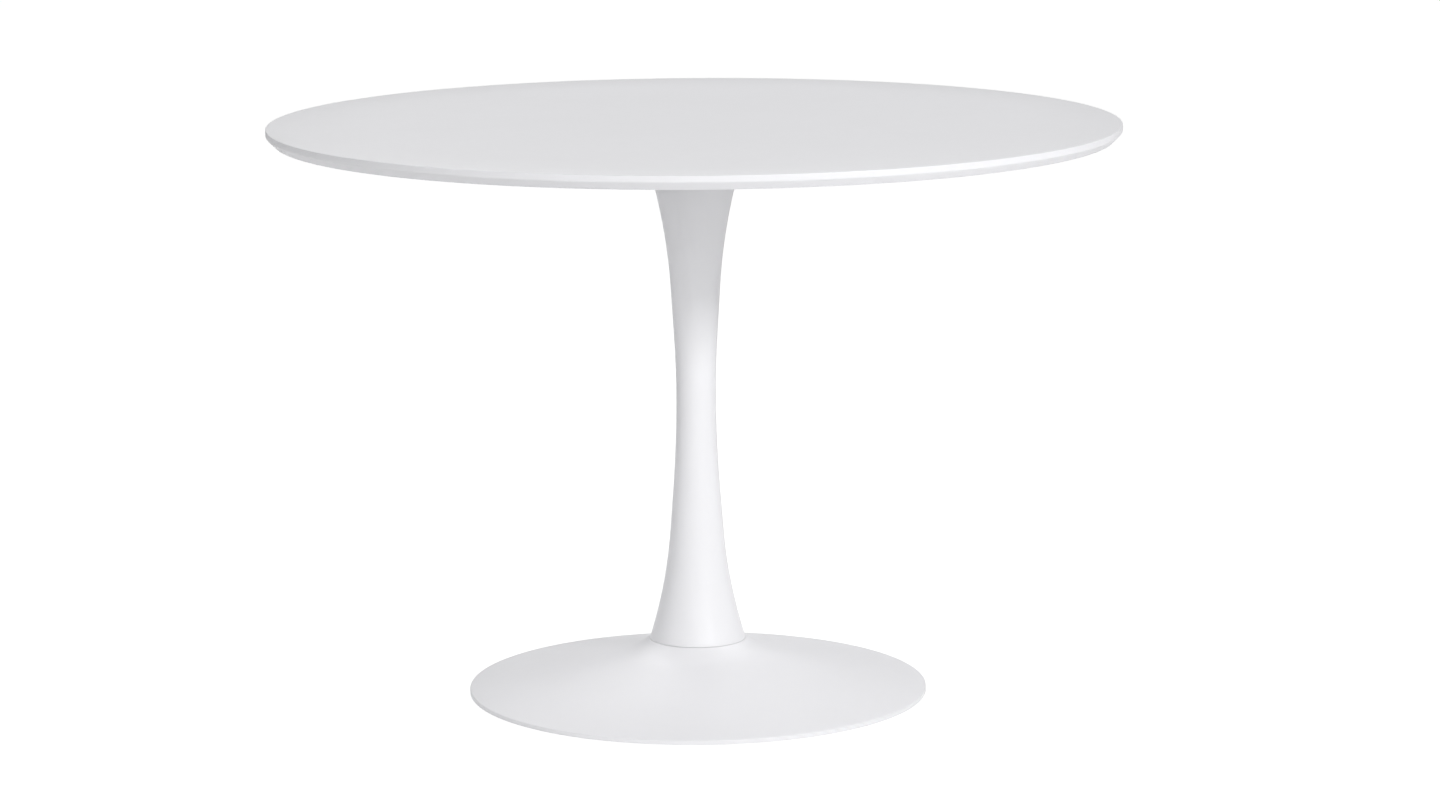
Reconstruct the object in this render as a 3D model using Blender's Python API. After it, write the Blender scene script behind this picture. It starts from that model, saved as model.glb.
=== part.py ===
"""A round pedestal table: a thin disc top on a hollow trumpet column that stands in a low conical
base. One tie rod runs down the column's axis and clamps the mounting plate, the column, the base
cover and the base casting together. The origin is on the floor, on the axis. Units are metres."""

import math

import bmesh
import bpy
from mathutils import Matrix, Vector

# ---------------------------------------------------------------- overall
TABLE_HEIGHT = 0.750
TOP_RADIUS = 0.550
BASE_RADIUS = 0.300

# Clearances: what touches in the real table keeps SEAT_GAP here, and what slides in keeps FIT_GAP.
SEAT_GAP = 0.0003
FIT_GAP = 0.0004

# ---------------------------------------------------------------- tabletop
TOP_THICKNESS = 0.018
TOP_BAND_HEIGHT = 0.008
TOP_EDGE_RADIUS = 0.001
UNDERCUT_ANGLE = math.radians(45)

# ---------------------------------------------------------------- fasteners of the top
SCREW_COUNT = 8
SCREW_CIRCLE_RADIUS = 0.118
SCREW_RADIUS = 0.003
SCREW_HEAD_RADIUS = 0.0060
SCREW_HEAD_HEIGHT = 0.0034
SCREW_HEAD_EDGE = 0.0010
SCREW_FACE_RADIUS = 0.0037
SCREW_SOCKET_RADIUS = 0.0022
SCREW_SOCKET_DEPTH = 0.0020
SCREW_TIP_GAP = 0.0015
INSERT_LENGTH = 0.012
INSERT_WALL = 0.0017
INSERT_CHAMFER = 0.0006

# ---------------------------------------------------------------- mounting plate and hub
PLATE_RADIUS = 0.140
PLATE_THICKNESS = 0.005
PLATE_CHAMFER = 0.0012
HUB_RADIUS = 0.016
HUB_LENGTH = 0.032

# ---------------------------------------------------------------- column
COLUMN_WALL = 0.0025
WAIST_RADIUS = 0.0258
WAIST_ABOVE_FOOT = 0.325
# From the waist each way the wall's slope (radius gained per metre of height) grows evenly to the
# taper's slope, holds it, and then grows evenly again through the flare to the slope at the mouth.
LOWER_TAPER, LOWER_WAIST_LENGTH, FOOT_FLARE_LENGTH, FOOT_SLOPE = 0.078, 0.129, 0.1415, 0.315
UPPER_TAPER, UPPER_WAIST_LENGTH, HEAD_FLARE_LENGTH, HEAD_SLOPE = 0.060, 0.070, 0.192, 0.326
COLLAR_THICKNESS = 0.006

# ---------------------------------------------------------------- base
SEAM_HEIGHT = 0.070
NECK_STEP = 0.0012
NECK_FILLET_RADIUS = 0.090
NECK_SLOPE = math.radians(40)
COVER_WALL = 0.0025
COVER_LIFT = 0.0015
RIM_HEIGHT = 0.0055
RIM_EDGE_RADIUS = 0.0015
CASTING_INSET = 0.015
CASTING_FOOT_WIDTH = 0.050
CASTING_WEB = 0.007
CASTING_HUB_RADIUS = 0.045
CASTING_HUB_LENGTH = 0.030
RIB_COUNT = 8
RIB_WIDTH = 0.006
RIB_SINK = 0.003

# ---------------------------------------------------------------- glides
GLIDE_COUNT = 8
GLIDE_RADIUS = 0.015
GLIDE_THICKNESS = 0.003
GLIDE_CHAMFER = 0.0008
GLIDE_STEM_RADIUS = 0.004
GLIDE_STEM_LENGTH = 0.005

# ---------------------------------------------------------------- tie rod and its nut
ROD_RADIUS = 0.007
ROD_CHAMFER = 0.001
ROD_BEYOND_NUT = 0.004
WASHER_RADIUS = 0.022
WASHER_THICKNESS = 0.003
SPRING_WASHER_RADIUS = 0.0125
SPRING_WASHER_THICKNESS = 0.003
SPRING_WASHER_SLOT = 0.002
NUT_ACROSS_FLATS = 0.022
NUT_HEIGHT = 0.011

# ---------------------------------------------------------------- facets
TOP_SIDES = 96
BASE_SIDES = 64
COLUMN_SIDES = 40
WASHER_SIDES = 24
ROD_SIDES = 16
SMALL_SIDES = 12
EDGE_STEPS = 3
FILLET_STEPS = 4
FLARE_STEPS = 5
WAIST_STEPS = 2
WELD = 1e-6

# ---------------------------------------------------------------- heights worked out from the above
top_underside = TABLE_HEIGHT - TOP_THICKNESS
plate_top = top_underside - SEAT_GAP
plate_bottom = plate_top - PLATE_THICKNESS
column_head = plate_bottom - SEAT_GAP
column_foot = SEAM_HEIGHT + SEAT_GAP
column_length = column_head - column_foot
casting_top = SEAM_HEIGHT - COVER_WALL - SEAT_GAP
casting_hub_bottom = casting_top - CASTING_HUB_LENGTH
casting_bottom = GLIDE_THICKNESS + SEAT_GAP
washer_bottom = casting_hub_bottom - SEAT_GAP - WASHER_THICKNESS
spring_washer_bottom = washer_bottom - SEAT_GAP - SPRING_WASHER_THICKNESS
nut_bottom = spring_washer_bottom - SEAT_GAP - NUT_HEIGHT
rod_bore_radius = ROD_RADIUS + FIT_GAP
insert_radius = SCREW_RADIUS + SEAT_GAP + INSERT_WALL
casting_radius = BASE_RADIUS - CASTING_INSET
casting_foot_inner = casting_radius - CASTING_FOOT_WIDTH
glide_circle_radius = casting_radius - CASTING_FOOT_WIDTH / 2


# ---------------------------------------------------------------- shape helpers
def material(name, color, roughness, metallic=0.0):
    made = bpy.data.materials.new(name)
    made.use_nodes = True
    surface = made.node_tree.nodes["Principled BSDF"]
    surface.inputs["Base Color"].default_value = (*color, 1.0)
    surface.inputs["Roughness"].default_value = roughness
    surface.inputs["Metallic"].default_value = metallic
    return made


def mesh_from(bm, name):
    """Closes off a bmesh: welded, facing out, smooth with crisp edges."""
    bmesh.ops.remove_doubles(bm, verts=bm.verts, dist=WELD)
    bmesh.ops.recalc_face_normals(bm, faces=bm.faces)
    mesh = bpy.data.meshes.new(name)
    bm.to_mesh(mesh)
    bm.free()
    mesh.shade_smooth()
    mesh.set_sharp_from_angle(angle=math.radians(32))
    return mesh


def turned(name, outline, sides):
    """An outline of (radius, height) points turned a full circle about Z.

    It is closed into a ring unless both its ends lie on the axis."""
    bm = bmesh.new()
    points = [bm.verts.new((radius, 0, height)) for radius, height in outline]
    is_solid = outline[0][0] == 0 and outline[-1][0] == 0
    pairs = list(zip(points, points[1:])) + ([] if is_solid else [(points[-1], points[0])])
    edges = [bm.edges.new(pair) for pair in pairs]
    bmesh.ops.spin(bm, geom=points + edges, axis=(0, 0, 1), angle=math.tau, steps=sides, use_merge=True)
    return mesh_from(bm, name)


def arc(center, radius, start, end, steps):
    """Points on an arc in the (radius, height) plane; angles count from outward, up."""
    turns = [start + (end - start) * step / steps for step in range(steps + 1)]
    return [(center[0] + radius * math.cos(a), center[1] + radius * math.sin(a)) for a in turns]


def place(name, mesh, look, root, location=(0, 0, 0), angle=0.0):
    piece = bpy.data.objects.new(name, mesh)
    if not mesh.materials:
        mesh.materials.append(look)
    piece.location = location
    piece.rotation_euler.z = angle
    piece.parent = root
    bpy.context.collection.objects.link(piece)
    return piece


def around(count, radius):
    """Evenly spaced (angle, x, y) places on a circle, the first on +X."""
    for step in range(count):
        angle = math.tau * step / count
        yield angle, radius * math.cos(angle), radius * math.sin(angle)


def combine(piece, name, bm, operation):
    """Joins a shape to the piece, or cuts it away; the shape is given in the piece's own frame."""
    helper = bpy.data.objects.new(name, mesh_from(bm, name))
    helper.hide_render = True
    helper.display_type = "WIRE"
    helper.parent = piece
    bpy.context.collection.objects.link(helper)
    modifier = piece.modifiers.new(name, "BOOLEAN")
    modifier.operation = operation
    modifier.solver = "EXACT"
    modifier.object = helper


def drill(piece, name, radius, bottom, top, places, sides=SMALL_SIDES):
    """Cuts upright round holes between two heights of the piece's own frame."""
    bm = bmesh.new()
    for _, x, y in places:
        shaft = bmesh.ops.create_cone(bm, cap_ends=True, segments=sides,
                                      radius1=radius, radius2=radius, depth=top - bottom)
        bmesh.ops.translate(bm, verts=shaft["verts"], vec=(x, y, (top + bottom) / 2))
    combine(piece, name, bm, "DIFFERENCE")


# ---------------------------------------------------------------- the column's curve
def half_curve(distance, length, taper, waist_length, flare_length, mouth_slope):
    """Radius gained at a distance from the waist, towards one end of the column."""
    flare_start = length - flare_length
    waist = taper * min(distance, waist_length) ** 2 / (2 * waist_length)
    straight = taper * max(distance - waist_length, 0)
    flare = (mouth_slope - taper) * max(distance - flare_start, 0) ** 2 / (2 * flare_length)
    return waist + straight + flare


def column_radius(height):
    """Outer radius of the column at a height above its foot."""
    above = height - WAIST_ABOVE_FOOT
    if above < 0:
        gained = half_curve(-above, WAIST_ABOVE_FOOT, LOWER_TAPER, LOWER_WAIST_LENGTH,
                            FOOT_FLARE_LENGTH, FOOT_SLOPE)
    else:
        gained = half_curve(above, column_length - WAIST_ABOVE_FOOT, UPPER_TAPER,
                            UPPER_WAIST_LENGTH, HEAD_FLARE_LENGTH, HEAD_SLOPE)
    return WAIST_RADIUS + gained


def column_stations():
    """Heights above the foot where the column's curve gets a point, closer together in the flares."""
    waist_start = WAIST_ABOVE_FOOT - LOWER_WAIST_LENGTH
    head_flare_start = column_length - HEAD_FLARE_LENGTH
    foot_flare = [FOOT_FLARE_LENGTH * step / FLARE_STEPS for step in range(FLARE_STEPS + 1)]
    waist = [waist_start + LOWER_WAIST_LENGTH * step / WAIST_STEPS for step in range(WAIST_STEPS + 1)]
    waist_end = [WAIST_ABOVE_FOOT + UPPER_WAIST_LENGTH]
    head_flare = [head_flare_start + HEAD_FLARE_LENGTH * step / FLARE_STEPS
                  for step in range(FLARE_STEPS + 1)]
    return sorted(foot_flare + waist + waist_end + head_flare)


# ---------------------------------------------------------------- the base cover's curve
neck_radius = column_radius(0) + NECK_STEP
fillet_center = (neck_radius + NECK_FILLET_RADIUS * math.sin(NECK_SLOPE),
                 SEAM_HEIGHT + NECK_FILLET_RADIUS * math.cos(NECK_SLOPE))
rim_top = COVER_LIFT + RIM_HEIGHT


def cone_angle():
    """Slope of the cover's cone: the line through the rim's upper edge that touches the neck fillet."""
    inward = BASE_RADIUS - fillet_center[0]
    upward = fillet_center[1] - rim_top
    return math.atan2(upward, inward) - math.asin(NECK_FILLET_RADIUS / math.hypot(inward, upward))


def cone_height(radius, depth):
    """Height of the cone at a radius, on the surface that lies a depth under the cover's outside."""
    slope = cone_angle()
    return rim_top + (BASE_RADIUS - radius) * math.tan(slope) - depth / math.cos(slope)


def neck_curve(depth, top):
    """The neck fillet from the cone up to a height, a depth under the cover's outside."""
    radius = NECK_FILLET_RADIUS + depth
    end_angle = math.acos((fillet_center[1] - top) / radius)
    turns = [cone_angle() + (end_angle - cone_angle()) * step / FILLET_STEPS
             for step in range(FILLET_STEPS + 1)]
    return [(fillet_center[0] - radius * math.sin(a), fillet_center[1] - radius * math.cos(a))
            for a in turns]


# ---------------------------------------------------------------- sub-parts: top
def make_tabletop(look, root):
    """A disc with a short upright band at its rim and an undercut that thins the edge from below."""
    undercut = (TOP_THICKNESS - TOP_BAND_HEIGHT) / math.tan(UNDERCUT_ANGLE)
    edge_center = (TOP_RADIUS - TOP_EDGE_RADIUS, TOP_THICKNESS - TOP_EDGE_RADIUS)
    outline = [(0, 0), (TOP_RADIUS - undercut, 0), (TOP_RADIUS, TOP_THICKNESS - TOP_BAND_HEIGHT)]
    outline += arc(edge_center, TOP_EDGE_RADIUS, 0, math.pi / 2, EDGE_STEPS)
    outline += [(0, TOP_THICKNESS)]
    top = place("tabletop", turned("tabletop", outline, TOP_SIDES), look, root, (0, 0, top_underside))
    drill(top, "insert_hole_cutter", insert_radius + SEAT_GAP, -TOP_THICKNESS,
          INSERT_LENGTH + SEAT_GAP, around(SCREW_COUNT, SCREW_CIRCLE_RADIUS))


def make_inserts(look, root):
    """Threaded inserts, flush with the top's underside."""
    bore = SCREW_RADIUS + SEAT_GAP
    outline = [(bore + INSERT_CHAMFER, 0),
               (insert_radius, 0),
               (insert_radius, INSERT_LENGTH - INSERT_CHAMFER),
               (insert_radius - INSERT_CHAMFER, INSERT_LENGTH),
               (bore, INSERT_LENGTH),
               (bore, INSERT_CHAMFER)]
    mesh = turned("top_insert", outline, SMALL_SIDES)
    for number, (angle, x, y) in enumerate(around(SCREW_COUNT, SCREW_CIRCLE_RADIUS), 1):
        place(f"top_insert_{number}", mesh, look, root, (x, y, top_underside), angle)


def make_screws(look, root):
    """Button-head screws, heads down, with a blind socket for the driver."""
    shank = PLATE_THICKNESS + 2 * SEAT_GAP + INSERT_LENGTH - SCREW_TIP_GAP
    socket_floor = SCREW_SOCKET_DEPTH - SCREW_HEAD_HEIGHT
    outline = [(0, socket_floor),
               (SCREW_SOCKET_RADIUS, socket_floor),
               (SCREW_SOCKET_RADIUS, -SCREW_HEAD_HEIGHT),
               (SCREW_FACE_RADIUS, -SCREW_HEAD_HEIGHT),
               (SCREW_HEAD_RADIUS, -SCREW_HEAD_EDGE),
               (SCREW_HEAD_RADIUS, 0),
               (SCREW_RADIUS, 0),
               (SCREW_RADIUS, shank),
               (0, shank)]
    mesh = turned("top_screw", outline, SMALL_SIDES)
    for number, (angle, x, y) in enumerate(around(SCREW_COUNT, SCREW_CIRCLE_RADIUS), 1):
        place(f"top_screw_{number}", mesh, look, root, (x, y, plate_bottom - SEAT_GAP), angle)


def make_mounting_plate(look, root):
    """The steel disc that spreads the load under the top, with clearance holes for its screws."""
    chamfer = PLATE_RADIUS - PLATE_CHAMFER
    outline = [(0, 0), (chamfer, 0), (PLATE_RADIUS, PLATE_CHAMFER), (PLATE_RADIUS, PLATE_THICKNESS),
               (0, PLATE_THICKNESS)]
    mesh = turned("mounting_plate", outline, BASE_SIDES)
    plate = place("mounting_plate", mesh, look, root, (0, 0, plate_bottom))
    drill(plate, "plate_hole_cutter", SCREW_RADIUS + FIT_GAP, -PLATE_THICKNESS,
          2 * PLATE_THICKNESS, around(SCREW_COUNT, SCREW_CIRCLE_RADIUS))


def make_plate_hub(look, root):
    """The threaded boss welded under the mounting plate; the tie rod screws into it."""
    bore = ROD_RADIUS + SEAT_GAP
    outline = [(bore + ROD_CHAMFER, 0), (HUB_RADIUS, 0), (HUB_RADIUS, HUB_LENGTH),
               (bore, HUB_LENGTH), (bore, ROD_CHAMFER)]
    mesh = turned("plate_hub", outline, WASHER_SIDES)
    place("plate_hub", mesh, look, root, (0, 0, plate_bottom - SEAT_GAP - HUB_LENGTH))


# ---------------------------------------------------------------- sub-parts: column
def make_column(look, root):
    """The hollow trumpet shell, open at both ends."""
    outer = [(column_radius(height), height) for height in column_stations()]
    inner = [(radius - COLUMN_WALL, height) for radius, height in reversed(outer)]
    mesh = turned("column_shell", outer + inner, COLUMN_SIDES)
    place("column_shell", mesh, look, root, (0, 0, column_foot))


def make_collar(name, bottom, bore, look, root):
    """A disc welded inside the column; its edge follows the column's inner wall."""
    heights = (bottom, bottom + COLLAR_THICKNESS)
    inset = COLUMN_WALL + 2 * SEAT_GAP
    edge = [(column_radius(height) - inset, height - bottom) for height in heights]
    outline = [(bore, 0), edge[0], edge[1], (bore, COLLAR_THICKNESS)]
    mesh = turned(name, outline, COLUMN_SIDES)
    place(name, mesh, look, root, (0, 0, column_foot + bottom))


def make_tie_rod(look, root):
    """The threaded rod, from under the nut up to the mounting plate."""
    bottom = nut_bottom - ROD_BEYOND_NUT
    length = plate_bottom - SEAT_GAP - bottom
    tip = ROD_RADIUS - ROD_CHAMFER
    outline = [(0, 0), (tip, 0), (ROD_RADIUS, ROD_CHAMFER), (ROD_RADIUS, length - ROD_CHAMFER),
               (tip, length), (0, length)]
    mesh = turned("tie_rod", outline, ROD_SIDES)
    place("tie_rod", mesh, look, root, (0, 0, bottom))


# ---------------------------------------------------------------- sub-parts: base
def make_base_cover(look, root):
    """The thin shell that is seen: upright rim, straight cone, a neck that steepens, a flat seat on top."""
    edge_center = (BASE_RADIUS - RIM_EDGE_RADIUS, rim_top - RIM_EDGE_RADIUS)
    inner_rim = BASE_RADIUS - COVER_WALL
    outside = [(BASE_RADIUS, COVER_LIFT)]
    outside += arc(edge_center, RIM_EDGE_RADIUS, 0, math.pi / 2 - cone_angle(), EDGE_STEPS)
    outside += neck_curve(0, SEAM_HEIGHT)
    seat_underside = SEAM_HEIGHT - COVER_WALL
    inside = [(rod_bore_radius, SEAM_HEIGHT), (rod_bore_radius, seat_underside)]
    inside += reversed(neck_curve(COVER_WALL, seat_underside))
    inside += [(inner_rim, cone_height(inner_rim, COVER_WALL)), (inner_rim, COVER_LIFT)]
    outline = [(radius, height - COVER_LIFT) for radius, height in outside + inside]
    mesh = turned("base_cover", outline, BASE_SIDES)
    place("base_cover", mesh, look, root, (0, 0, COVER_LIFT))


def web_underside(radius):
    """Height of the casting's web, seen from below."""
    return cone_height(radius, COVER_WALL + SEAT_GAP) - CASTING_WEB


def casting_ribs():
    """Upright ribs under the web, from inside the hub to inside the foot ring."""
    inner, outer = CASTING_HUB_RADIUS - RIB_SINK, casting_foot_inner + RIB_SINK
    side = [(inner, casting_hub_bottom + RIB_SINK),
            (outer, casting_bottom + RIB_SINK),
            (outer, web_underside(outer) + RIB_SINK),
            (inner, web_underside(inner) + RIB_SINK)]
    bm = bmesh.new()
    for number in range(RIB_COUNT):
        turn = Matrix.Rotation(math.tau * (number + 0.5) / RIB_COUNT, 3, "Z")
        corners = [turn @ Vector((radius, -RIB_WIDTH / 2, height - casting_bottom))
                   for radius, height in side]
        face = bm.faces.new([bm.verts.new(corner) for corner in corners])
        grown = bmesh.ops.extrude_face_region(bm, geom=[face])["geom"]
        moved = [item for item in grown if isinstance(item, bmesh.types.BMVert)]
        bmesh.ops.translate(bm, verts=moved, vec=turn @ Vector((0, RIB_WIDTH, 0)))
    return bm


def make_base_casting(look, root):
    """The iron weight under the cover: a thick hub, a conical web, ribs and a flat foot ring."""
    depth = COVER_WALL + SEAT_GAP
    outline = [(rod_bore_radius, casting_hub_bottom),
               (CASTING_HUB_RADIUS, casting_hub_bottom),
               (CASTING_HUB_RADIUS, web_underside(CASTING_HUB_RADIUS)),
               (casting_foot_inner, web_underside(casting_foot_inner)),
               (casting_foot_inner, casting_bottom),
               (casting_radius, casting_bottom),
               (casting_radius, cone_height(casting_radius, depth))]
    outline += neck_curve(depth, casting_top)
    outline += [(rod_bore_radius, casting_top)]
    outline = [(radius, height - casting_bottom) for radius, height in outline]
    mesh = turned("base_casting", outline, BASE_SIDES)
    casting = place("base_casting", mesh, look, root, (0, 0, casting_bottom))
    combine(casting, "casting_ribs", casting_ribs(), "UNION")
    drill(casting, "stem_hole_cutter", GLIDE_STEM_RADIUS + SEAT_GAP, -GLIDE_THICKNESS,
          GLIDE_STEM_LENGTH + SEAT_GAP, around(GLIDE_COUNT, glide_circle_radius))


def make_glides(look, root):
    """Press-in floor glides: a flat pad with a chamfered edge and a stem."""
    stem_top = GLIDE_THICKNESS + SEAT_GAP + GLIDE_STEM_LENGTH
    outline = [(0, 0),
               (GLIDE_RADIUS - GLIDE_CHAMFER, 0),
               (GLIDE_RADIUS, GLIDE_CHAMFER),
               (GLIDE_RADIUS, GLIDE_THICKNESS),
               (GLIDE_STEM_RADIUS, GLIDE_THICKNESS),
               (GLIDE_STEM_RADIUS, stem_top),
               (0, stem_top)]
    mesh = turned("glide", outline, SMALL_SIDES)
    for number, (angle, x, y) in enumerate(around(GLIDE_COUNT, glide_circle_radius), 1):
        place(f"glide_{number}", mesh, look, root, (x, y, 0), angle)


def make_washer(name, bottom, radius, thickness, look, root):
    """A flat ring that slides on the tie rod."""
    outline = [(rod_bore_radius, 0), (radius, 0), (radius, thickness), (rod_bore_radius, thickness)]
    return place(name, turned(name, outline, WASHER_SIDES), look, root, (0, 0, bottom))


def make_spring_washer(look, root):
    """A ring with a straight cut through one side."""
    washer = make_washer("spring_washer", spring_washer_bottom, SPRING_WASHER_RADIUS,
                         SPRING_WASHER_THICKNESS, look, root)
    reach = 2 * SPRING_WASHER_RADIUS
    bm = bmesh.new()
    bmesh.ops.create_cube(bm, size=1)
    bmesh.ops.scale(bm, verts=bm.verts, vec=(reach, SPRING_WASHER_SLOT, 3 * SPRING_WASHER_THICKNESS))
    bmesh.ops.translate(bm, verts=bm.verts, vec=(reach / 2, 0, SPRING_WASHER_THICKNESS / 2))
    combine(washer, "washer_slot_cutter", bm, "DIFFERENCE")


def make_nut(look, root):
    """A hexagon nut with a through bore."""
    corner = NUT_ACROSS_FLATS / 2 / math.cos(math.pi / 6)
    mesh = turned("tie_rod_nut", [(0, 0), (corner, 0), (corner, NUT_HEIGHT), (0, NUT_HEIGHT)], 6)
    nut = place("tie_rod_nut", mesh, look, root, (0, 0, nut_bottom))
    drill(nut, "nut_bore_cutter", ROD_RADIUS + SEAT_GAP, -NUT_HEIGHT, 2 * NUT_HEIGHT,
          around(1, 0), ROD_SIDES)


def clear_scene():
    for leftover in list(bpy.data.objects):
        bpy.data.objects.remove(leftover, do_unlink=True)


def build_table():
    root = bpy.data.objects.new("pedestal_table", None)
    bpy.context.collection.objects.link(root)

    lacquer = material("top_lacquer", (0.86, 0.865, 0.87), 0.42)
    column_coat = material("column_powder_coat", (0.85, 0.85, 0.845), 0.38)
    base_coat = material("base_powder_coat", (0.85, 0.85, 0.845), 0.38)
    plate_coat = material("plate_black_coat", (0.03, 0.03, 0.032), 0.55)
    zinc = material("zinc_steel", (0.62, 0.63, 0.65), 0.35, 1.0)
    mild_steel = material("welded_steel", (0.34, 0.34, 0.35), 0.5, 1.0)
    brass = material("insert_brass", (0.78, 0.60, 0.27), 0.35, 1.0)
    iron = material("cast_iron", (0.09, 0.09, 0.095), 0.75, 0.3)
    nylon = material("glide_nylon", (0.045, 0.045, 0.05), 0.6)

    make_tabletop(lacquer, root)
    make_inserts(brass, root)
    make_screws(zinc, root)
    make_mounting_plate(plate_coat, root)
    make_plate_hub(mild_steel, root)

    make_column(column_coat, root)
    head_bore = HUB_RADIUS + FIT_GAP
    make_collar("column_head_collar", column_length - COLLAR_THICKNESS, head_bore, mild_steel, root)
    make_collar("column_foot_collar", 0, rod_bore_radius, mild_steel, root)
    make_tie_rod(zinc, root)

    make_base_cover(base_coat, root)
    make_base_casting(iron, root)
    make_glides(nylon, root)
    make_washer("clamp_washer", washer_bottom, WASHER_RADIUS, WASHER_THICKNESS, zinc, root)
    make_spring_washer(zinc, root)
    make_nut(zinc, root)


clear_scene()
build_table()
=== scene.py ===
"""The looks of the round pedestal table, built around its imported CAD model.

Every piece is built again on the CAD's own measures, with round outlines where the CAD has
facets and with the edges, threads, ribs and weld beads of the real one. Units are metres, as in
the CAD."""

import math

import bmesh
import bpy
from mathutils import Matrix, Vector


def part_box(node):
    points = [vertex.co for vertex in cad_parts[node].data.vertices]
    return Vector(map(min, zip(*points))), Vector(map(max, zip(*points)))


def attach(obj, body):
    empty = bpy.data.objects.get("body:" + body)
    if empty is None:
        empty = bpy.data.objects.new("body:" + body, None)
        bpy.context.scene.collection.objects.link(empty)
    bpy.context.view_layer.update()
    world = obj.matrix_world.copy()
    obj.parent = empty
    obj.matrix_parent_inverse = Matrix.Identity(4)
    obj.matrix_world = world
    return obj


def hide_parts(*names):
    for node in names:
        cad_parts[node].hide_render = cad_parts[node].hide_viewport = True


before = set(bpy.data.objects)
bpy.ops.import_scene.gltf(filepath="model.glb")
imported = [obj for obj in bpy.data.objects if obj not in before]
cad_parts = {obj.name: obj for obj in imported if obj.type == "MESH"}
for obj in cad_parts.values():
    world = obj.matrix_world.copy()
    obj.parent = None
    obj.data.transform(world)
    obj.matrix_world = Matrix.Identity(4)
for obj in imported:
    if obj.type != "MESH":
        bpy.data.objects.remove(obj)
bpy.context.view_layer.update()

# ---------------------------------------------------------------- camera
CAMERA_LOCATION = (0.0, -5.6388, 1.3923)
CAMERA_YAW = math.radians(0.315)
CAMERA_PITCH = math.radians(10.181)
CAMERA_ROLL = math.radians(-0.344)
CAMERA_LENS_MM = 109.93
CAMERA_SENSOR_MM = 36.0
CAMERA_SIGHT = 200.0

# ---------------------------------------------------------------- light and floor
# Soft boxes: azimuth from the front towards the right, elevation, distance, width, height and
# radiance.
SOFT_BOXES = {
    "key": (33, 26.5, 4.0, 1.2, 0.5, 34.0),
    "front": (5, 20, 4.0, 1.2, 0.6, 4.8),
    "left_fill": (-70, 42, 4.0, 1.9, 1.3, 3.0),
    "right_fill": (95, 42, 4.0, 1.9, 1.3, 4.0),
    "back_right": (135, 42, 4.0, 1.9, 1.3, 2.3),
    "back": (180, 42, 4.0, 1.9, 1.3, 3.3),
    "back_left": (-150, 42, 4.0, 1.9, 1.3, 4.6),
}
AIM_HEIGHT = 0.45
WORLD_GLOW = 0.396
WORLD_FRONT_GLOW = 0.90
WORLD_FADE_FROM, WORLD_FADE_TO = 0.15, 0.75    # height of a direction, 0 level to 1 upright
FLOOR_RADIUS = 60.0
FLOOR_GLOW = 0.99
FLOOR_WHITE = 0.15
BOUNCE_GLOW = 0.19
BOUNCE_WHITE = 0.75
BACKDROP_RADIUS = 70.0
BACKDROP_GLOW = 1.0
STUDIO_ROUGHNESS = 0.9
# The seen floor and backdrop darken from this far in front of the table's axis to this far, and
# glow there with this share of what they glow behind it.
FRONT_FROM = 0.9
FRONT_TO = 5.0
FRONT_SHARE = 0.66

# ---------------------------------------------------------------- the top
TOP_BAND_HEIGHT = 0.008
TOP_EDGE_RADIUS = 0.001
TOP_CORNER_RADIUS = 0.0006
TOP_BAND_FOOT_RADIUS = 0.003    # where the upright band turns into the undercut
UNDERCUT_ANGLE = math.radians(45)
INSERT_HOLE_RADIUS = 0.0053
INSERT_HOLE_DEPTH = 0.0123
INSERT_RADIUS = 0.005
INSERT_BORE_RADIUS = 0.0033
INSERT_BREAK = 0.0006
INSERT_COLLAR = 0.0015
INSERT_BARBS = 5
INSERT_BARB_DEPTH = 0.0005
INSERT_NOTCH_SHARE = 0.25       # how much of a barb's length is the notch under it

PLATE_CHAMFER = 0.0012
PLATE_BREAK = 0.0004
PLATE_TOP_BREAK = 0.0002
PLATE_HOLE_RADIUS = 0.0034
SCREW_COUNT = 8
SCREW_RADIUS = 0.003
SCREW_HEAD_RADIUS = 0.0060
SCREW_HEAD_HEIGHT = 0.0034
SCREW_HEAD_EDGE = 0.0010
SCREW_FACE_RADIUS = 0.0037
SCREW_BREAK = 0.0002
SOCKET_ACROSS_FLATS = 0.0040
SOCKET_DEPTH = 0.0020
SCREW_STOP_TURN = 0.37          # each screw stops this much of a turn further than the one before

# ---------------------------------------------------------------- where the coats are rubbed
SLEEVE_REACH = 0.12             # sleeves, in from the top's edge
FEET_HEIGHT = 0.20              # feet, on the column, up to this height
SHOE_REACH = 0.10               # shoes, in from the base's edge

# ---------------------------------------------------------------- the column
COLUMN_WALL = 0.0025
COLUMN_LIP_RADIUS = 0.00025
HUB_BORE_RADIUS = 0.0073
HUB_BREAK = 0.001
HUB_GAP = 0.0004
COLLAR_INSET = 0.0006           # the gap that stands for the weld, between a collar and the wall
COLLAR_BREAK = 0.0004
WELD_BEAD = 0.0035
WELD_STEPS = 6
WELD_RIPPLES = 64
WELD_RIPPLE_DEPTH = 0.0004
WAIST_RADIUS = 0.0258
WAIST_ABOVE_FOOT = 0.325
LOWER_TAPER, LOWER_WAIST_LENGTH, FOOT_FLARE_LENGTH, FOOT_SLOPE = 0.078, 0.129, 0.1415, 0.315
UPPER_TAPER, UPPER_WAIST_LENGTH, HEAD_FLARE_LENGTH, HEAD_SLOPE = 0.060, 0.070, 0.192, 0.326

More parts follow.
